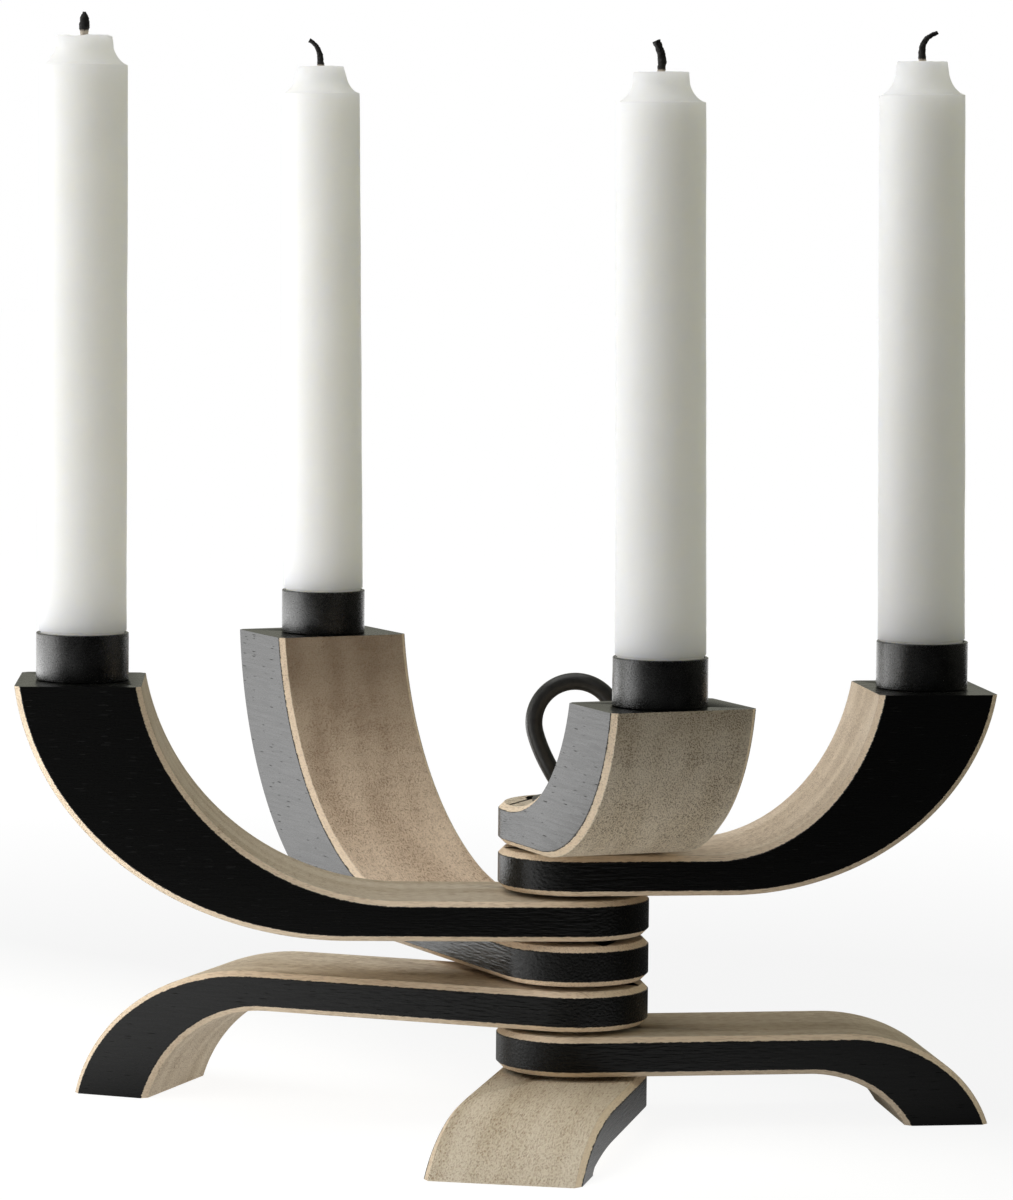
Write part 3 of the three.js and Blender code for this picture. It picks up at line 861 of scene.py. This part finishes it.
def sawn_wood():
    """Sawn hardwood: pale and tan bands, fine fibres and open pores along the board, which show
    as streaks on the flats and as dots where the curve cuts across them. The black paint
    creeps a little over the chamfers."""
    sizes = bpy.context.scene.candelabra_bars
    wood = Finish("sawn_wood")
    grain = wood.attribute("grain", "Vector")
    bands = wood.noise(wood.stretched(grain, (0.006, 0.12, 0.05)), detail=1.0)
    fibres = wood.noise(wood.stretched(grain, (0.18, 2.4, 2.4)), detail=4.0, roughness=0.7)
    tone = wood.plus(
        wood.between(bands, 0.35, 0.65, 0.0, 0.6), wood.between(fibres, 0.3, 0.72, -0.2, 0.45)
    )
    base = wood.mix(tone, sizes.wood_pale, sizes.wood_tan)
    pink = wood.mix(tone, sizes.wood_pink, sizes.wood_red)
    base = wood.mix(wood.attribute("pink"), base, pink)
    # Darker boards, and painted shade where other bars shade a bar and towards its free end
    base = wood.mix(wood.attribute("shade"), base, sizes.dark_wood_and_shade, blend="MULTIPLY")

    edge = wood.attribute("paint")
    fresh = wood.between(edge, 0.02, 0.12, 0.0, 0.75)
    base = wood.mix(fresh, base, sizes.chamfer_wood)

    flecks = wood.noise(wood.stretched(grain, (0.4, 2.9, 2.9)), detail=1.0)
    flecks = wood.between(flecks, 0.49, 0.66, 0.0, 0.46)
    fine = wood.dots(
        wood.stretched(grain, (0.28, 2.0, 2.0)), (0.1, 1.0), (0.0, 0.42), (-0.05, 0.1), 0.68
    )
    clusters = wood.noise(wood.stretched(grain, (0.02, 0.25, 0.25)), detail=2.0)
    reach = wood.between(clusters, 0.4, 0.66, 0.0, 0.24)
    coarse = wood.cells(wood.stretched(grain, (0.11, 0.9, 0.9)))
    coarse = wood.between(wood.minus(reach, coarse), -0.03, 0.05, 0.0, 0.6)
    pores = wood.maths("MAXIMUM", flecks, wood.maths("MAXIMUM", fine, coarse))
    pores = wood.times(pores, wood.between(bands, 0.36, 0.6, 0.75, 1.15))
    pores = wood.times(pores, wood.between(fresh, 0.0, 1.0, 1.0, 0.3))
    pore = wood.mix(wood.attribute("pores"), sizes.pore_tan, sizes.wood_pore)
    base = wood.mix(pores, base, pore)

    ragged = wood.noise(wood.stretched(grain, (0.5, 1.6, 1.6)), detail=5.0, roughness=0.75)
    border = wood.between(wood.plus(edge, wood.times(ragged, 0.5)), 1.10, 1.16)
    relief = wood.minus(wood.times(fibres, 0.7), pores)
    wood.surface(
        Base_Color=wood.mix(border, base, sizes.paint),
        Roughness=wood.between(border, 0.0, 1.0, 0.6, 0.38),
        Specular_IOR_Level=0.3,
        Normal=wood.bump(relief, 1.0, 0.3),
    )
    return wood.material


def black_paint():
    """Black semi-gloss paint with the board's grain and pits showing through, rougher over the
    end grain of the pivot end, and a little dust."""
    sizes = bpy.context.scene.candelabra_bars
    paint = Finish("black_paint")
    grain = paint.attribute("grain", "Vector")
    streaks = paint.noise(paint.stretched(grain, (0.10, 2.2, 2.2)), detail=4.0, roughness=0.7)
    pits = paint.dots(
        paint.stretched(grain, (0.16, 2.2, 2.2)), (0.4, 1.0), (0.0, 0.2), (-0.02, 0.04)
    )
    orange_peel = paint.noise(grain, 1.3, detail=2.0)
    dusty = paint.between(paint.noise(grain, 0.15), 0.5, 0.7, 0.0, 0.4)
    dust = paint.times(paint.between(paint.cells(grain, 0.7), 0.03, 0.06, 1.0, 0.0), dusty)
    end_grain = paint.noise(paint.stretched(grain, (0.25, 1.7, 1.7)), detail=2.0)
    end_grain = paint.times(end_grain, paint.between(paint.attribute("hub"), 0.0, 1.0, 0.12, 1.6))
    relief = paint.minus(paint.plus(end_grain, paint.times(orange_peel, 0.12)), pits)
    satin = paint.between(streaks, 0.3, 0.7, 0.24, 0.31)
    paint.surface(
        Base_Color=paint.mix(dust, sizes.paint, sizes.dust),
        Roughness=paint.plus(satin, paint.times(pits, 0.5)),
        Specular_IOR_Level=0.25,
        Normal=paint.bump(relief, 0.5, 0.18),
    )
    return paint.material


def cup_steel():
    """Blackened steel, mottled and a little greyer where the blackening is thin."""
    sizes = bpy.context.scene.candelabra_cups
    steel = Finish("blackened_cup")
    place = steel.place()
    clouds = steel.noise(place, 0.35, detail=5.0, roughness=0.7)
    specks = steel.noise(place, 2.8, detail=3.0, roughness=0.75)
    patches = steel.between(steel.plus(clouds, steel.times(specks, 0.5)), 0.6, 0.95)
    steel.surface(
        Base_Color=steel.mix(patches, sizes.steel, sizes.bloom),
        Specular_IOR_Level=0.8,
        Roughness=steel.between(specks, 0.35, 0.65, 0.14, 0.36),
        Normal=steel.bump(specks, 1.0, 0.07),
    )
    return steel.material


def ring_steel():
    """Blackened steel wire, satin, with faint drawing marks."""
    sizes = bpy.context.scene.candelabra_spindle
    steel = Finish("blackened_ring")
    place = steel.place()
    clouds = steel.noise(place, 0.5, detail=4.0, roughness=0.6)
    marks = steel.noise(place, 2.4, detail=3.0)
    steel.surface(
        Base_Color=steel.mix(clouds, sizes.steel, sizes.worn),
        Metallic=0.3,
        Roughness=steel.between(marks, 0.3, 0.7, 0.28, 0.42),
        Normal=steel.bump(marks, 0.3, 0.03),
    )
    return steel.material


def zinc_plate():
    """Zinc-plated steel with a faint cloudy grain."""
    sizes = bpy.context.scene.candelabra_spindle
    zinc = Finish("zinc_plate")
    place = zinc.place()
    clouds = zinc.noise(place, 0.8, detail=4.0)
    scratches = zinc.noise(zinc.stretched(place, (0.5, 6.0, 6.0)), detail=2.0)
    zinc.surface(
        Base_Color=zinc.mix(clouds, sizes.zinc, sizes.dull),
        Metallic=0.95,
        Roughness=zinc.between(scratches, 0.3, 0.7, 0.26, 0.42),
        Normal=zinc.bump(scratches, 0.2, 0.02),
    )
    return zinc.material


def candle_wax():
    """White wax, satin, with faint streaks down its length and small dents."""
    sizes = bpy.context.scene.candelabra_candles
    wax = Finish("candle_wax")
    place = wax.place()
    streaks = wax.noise(wax.stretched(place, (0.5, 0.5, 0.05)), detail=3.0)
    dents = wax.noise(place, 0.6, detail=3.0, roughness=0.6)
    cloud = wax.noise(place, 0.06, detail=3.0)
    relief = wax.plus(streaks, wax.times(dents, 0.6))
    wax.surface(
        Base_Color=wax.mix(wax.between(cloud, 0.3, 0.7, 0.0, 0.35), sizes.wax, sizes.haze),
        Roughness=wax.between(dents, 0.3, 0.7, 0.42, 0.56),
        Specular_IOR_Level=0.15,
        Subsurface_Weight=1.0,
        Subsurface_Radius=(1.0, 0.96, 0.8),
        Subsurface_Scale=38.0 * MM,
        Normal=wax.bump(relief, 0.25, 0.12),
    )
    return wax.material


def burnt_wick():
    """Charred cotton with a pale waxed foot."""
    sizes = bpy.context.scene.candelabra_candles
    wick = Finish("burnt_wick")
    place = wick.place()
    weave = wick.noise(wick.stretched(place, (2.4, 2.4, 1.2)), detail=3.0, roughness=0.7)
    height = wick.attribute("char")
    burnt = wick.between(wick.plus(height, wick.times(weave, 0.9)), 0.75, 1.25)
    ash = wick.mix(wick.between(weave, 0.55, 0.75, 0.0, 0.5), sizes.char, sizes.ash)
    wick.surface(
        Base_Color=wick.mix(burnt, sizes.cotton, ash),
        Roughness=wick.between(weave, 0.3, 0.7, 0.5, 0.85),
        Specular_IOR_Level=0.4,
        Normal=wick.bump(weave, 0.8, 0.25),
    )
    return wick.material


# Operators


class CANDELABRA_OT_bars(bpy.types.Operator):
    """Makes the seven sawn and painted bars in the place of their CAD nodes"""

    bl_idname = "candelabra.bars"
    bl_label = "Arms and legs"

    def execute(self, context):
        materials = [black_paint(), sawn_wood()]
        for number, (name, bar) in enumerate({**ARMS, **LEGS}.items()):
            make_bar(name, bar, number, materials)
        return {"FINISHED"}


class CANDELABRA_OT_cups(bpy.types.Operator):
    """Makes the four steel cups"""

    bl_idname = "candelabra.cups"
    bl_label = "Cups"

    def execute(self, context):
        steel = cup_steel()
        for place_name in PLACES:
            make_cup(place_name, steel)
        return {"FINISHED"}


class CANDELABRA_OT_candles(bpy.types.Operator):
    """Makes the four candles and their wicks"""

    bl_idname = "candelabra.candles"
    bl_label = "Candles and wicks"

    def execute(self, context):
        wax = candle_wax()
        char = burnt_wick()
        for place_name in PLACES:
            make_candle(place_name, wax)
            make_wick(place_name, char)
        return {"FINISHED"}


class CANDELABRA_OT_ring(bpy.types.Operator):
    """Makes the ring bolt and its washer"""

    bl_idname = "candelabra.ring"
    bl_label = "Ring bolt"

    def execute(self, context):
        steel = ring_steel()
        make_ring_bolt(steel)
        make_ring_washer(steel)
        return {"FINISHED"}


class CANDELABRA_OT_hardware(bpy.types.Operator):
    """Gives the hidden washers, the nut and the cups' screws their plating"""

    bl_idname = "candelabra.hardware"
    bl_label = "Hidden hardware"

    def execute(self, context):
        zinc = zinc_plate()
        names = ["nut_washer", "lock_nut"]
        names += [f"spacer_washer_{number}" for number in range(1, SPACERS + 1)]
        names += [f"cup_screw_{place_name}" for place_name in PLACES]
        for name in names:
            frame["nodes"][name].material_slots[0].material = zinc
        return {"FINISHED"}


def softbox(name, at, width, height, radiance, tint=(1.0, 1.0, 1.0), shades=True, shines=True):
    """A rectangular light of the given radiance that faces the bars, and either lights the finish,
    shows in its gloss, or both. The camera doesn't see it."""
    lamp = bpy.data.lights.new(name, "AREA")
    lamp.shape = "RECTANGLE"
    lamp.size = width
    lamp.size_y = height
    lamp.energy = radiance * math.pi * width * height
    lamp.color = tint
    made = add_object(name, lamp)
    made.location = at
    made.rotation_euler = (Vector(AIM) - Vector(at)).to_track_quat("-Z", "Y").to_euler()
    made.visible_camera = False
    made.visible_diffuse = shades
    made.visible_glossy = shines


def make_floor(stage):
    """A round pale floor that the camera sees nearly white, with a faint contact shadow. What it
    throws back on the candelabra is brightest behind it on the left and dim towards the front,
    like a studio table between its softboxes."""
    shape = bmesh.new()
    bmesh.ops.create_circle(shape, cap_ends=True, radius=stage.floor_radius, segments=128)
    floor = add_object("studio_floor", to_mesh(shape, "studio_floor"))
    pale = Finish("pale_floor")
    place = pale.node("ShaderNodeTexCoord").outputs["Object"]
    across, along, _ = pale.axes(place)
    distance = pale.node("ShaderNodeVectorMath", {0: place}, operation="LENGTH").outputs["Value"]
    path = pale.node("ShaderNodeLightPath").outputs
    towards_back = pale.between(pale.minus(along, pale.times(across, 0.3)), -0.3, -0.1, 0.04, 1.0)
    # Painted shadow: towards the back right, the floor's colour and the light it throws back fall
    # nearly to nothing, where the candelabra would shade it
    shaded_back_right = pale.between(pale.plus(along, across), -0.04, 0.1, 1.0, 0.03)
    left = pale.times(across, -1.0)
    glow = pale.times(towards_back, stage.floor_light)
    glow = pale.times(glow, shaded_back_right)
    # Painted shadow: the light thrown back is halved right under the candelabra
    glow = pale.times(glow, pale.between(distance, 0.09, 0.15, 0.5, 1.0))
    glow = pale.times(glow, pale.between(left, 0.08, 0.2, 1.0, 2.1))
    sweep = pale.between(pale.minus(along, across), 0.35, 0.65, 0.0, stage.sweep_light)
    sweep = pale.times(sweep, pale.between(path["Is Diffuse Ray"], 0.0, 1.0, 1.0, 0.4))
    left_sheet = pale.between(left, 0.12, 0.22, 0.0, stage.sheet_light)
    thrown = pale.plus(glow, pale.maths("MAXIMUM", sweep, left_sheet))
    seen = pale.between(distance, 0.25, 0.6, 0.9, 1.0)
    strength = pale.node(
        "ShaderNodeMix", {"Factor": path["Is Camera Ray"], "A": thrown, "B": seen}
    ).outputs[0]
    pale.surface(
        Base_Color=pale.mix(pale.times(towards_back, shaded_back_right), stage.floor_dim, stage.floor_lit),
        Roughness=0.9,
        Specular_IOR_Level=0.0,
        Emission_Color=(1.0, 1.0, 1.0, 1.0),
        Emission_Strength=strength,
    )
    floor.data.materials.append(pale.material)


def make_world(stage):
    """White behind everything, and a soft room that is dark only on the camera's side."""
    world = bpy.data.worlds.new("studio")
    world.use_nodes = True
    world.node_tree.nodes.clear()
    room = Nodes(world.node_tree)
    across, along, up = room.axes(room.node("ShaderNodeTexCoord").outputs["Generated"])
    behind = room.between(along, -0.65, 0.3, 0.02 * stage.room_light, stage.room_light)
    right = room.between(across, 0.2, 0.9, 1.0, 0.3)
    ceiling = room.between(up, 0.3, 1.0, 1.0, 0.5)
    path = room.node("ShaderNodeLightPath").outputs
    gloss = room.between(path["Is Glossy Ray"], 0.0, 1.0, 1.0, stage.room_gloss)
    strength = room.times(room.times(room.times(behind, right), ceiling), gloss)
    walls = room.node("ShaderNodeBackground", {"Color": stage.fill, "Strength": strength})
    white = room.node("ShaderNodeBackground", {"Color": (1.0, 1.0, 1.0, 1.0)})
    choice = room.node("ShaderNodeMixShader", {
        "Fac": path["Is Camera Ray"], 1: walls.outputs[0], 2: white.outputs[0],
    })
    room.node("ShaderNodeOutputWorld", {"Surface": choice.outputs[0]})
    bpy.context.scene.world = world


class CANDELABRA_OT_stage(bpy.types.Operator):
    """Makes the floor, the soft lights, the room's tone and the camera"""

    bl_idname = "candelabra.stage"
    bl_label = "Stage"

    def execute(self, context):
        stage = context.scene.candelabra_stage
        make_floor(stage)
        make_world(stage)
        softbox("key_softbox", (-1.36, -1.06, 1.15), 1.76, 1.76, stage.key_light, shines=False)
        softbox("left_reflection", (-1.65, -0.08, 0.45), 1.35, 0.9, stage.left_gloss, shades=False)
        softbox("top_softbox", (-0.25, 0.05, 1.2), 1.2, 1.2, stage.top_light)
        softbox("high_softbox", (-1.6, 0.16, 1.36), 1.6, 1.6, stage.high_light, shines=False)
        softbox(
            "right_fill", (1.0, 0.12, 0.5), 1.0, 1.0, stage.right_light, tint=stage.fill[:3],
            shines=False,
        )
        lens = bpy.data.cameras.new("camera")
        lens.sensor_width = stage.sensor
        lens.lens = stage.lens
        lens.clip_end = 50.0
        camera = add_object("camera", lens)
        pitch = Matrix.Rotation(math.pi / 2 - CAMERA_DOWN, 4, "X")
        roll = Matrix.Rotation(CAMERA_ROLL, 4, "Z")
        camera.matrix_world = Matrix.Translation(CAMERA_PLACE) @ pitch @ roll
        context.scene.camera = camera
        context.scene.view_settings.view_transform = "Standard"
        return {"FINISHED"}


class CANDELABRA_PT_sidebar(bpy.types.Panel):
    """Lists the candelabra's pieces with their sizes and colours"""

    bl_label = "Candelabra"
    bl_idname = "CANDELABRA_PT_sidebar"
    bl_space_type = "VIEW_3D"
    bl_region_type = "UI"
    bl_category = "Candelabra"

    def draw(self, context):
        for operator, settings in STEPS:
            box = self.layout.box()
            box.operator(operator.bl_idname)
            group = getattr(context.scene, settings)
            for name in group.__annotations__:
                box.prop(group, name)


GROUPS = {
    "candelabra_bars": CANDELABRA_PG_bars,
    "candelabra_cups": CANDELABRA_PG_cups,
    "candelabra_candles": CANDELABRA_PG_candles,
    "candelabra_spindle": CANDELABRA_PG_spindle,
    "candelabra_stage": CANDELABRA_PG_stage,
}
STEPS = (
    (CANDELABRA_OT_bars, "candelabra_bars"),
    (CANDELABRA_OT_cups, "candelabra_cups"),
    (CANDELABRA_OT_candles, "candelabra_candles"),
    (CANDELABRA_OT_ring, "candelabra_spindle"),
    (CANDELABRA_OT_hardware, "candelabra_spindle"),
    (CANDELABRA_OT_stage, "candelabra_stage"),
)
CLASSES = (*GROUPS.values(), *(operator for operator, _ in STEPS), CANDELABRA_PT_sidebar)


def register():
    for item in CLASSES:
        bpy.utils.register_class(item)
    for name, group in GROUPS.items():
        setattr(bpy.types.Scene, name, PointerProperty(type=group))


def unregister():
    for name in GROUPS:
        delattr(bpy.types.Scene, name)
    for item in reversed(CLASSES):
        bpy.utils.unregister_class(item)


def main():
    register()
    bpy.ops.candelabra.stage()
    bpy.ops.candelabra.bars()
    bpy.ops.candelabra.cups()
    bpy.ops.candelabra.candles()
    bpy.ops.candelabra.ring()
    bpy.ops.candelabra.hardware()


if __name__ == "__main__":
    main()
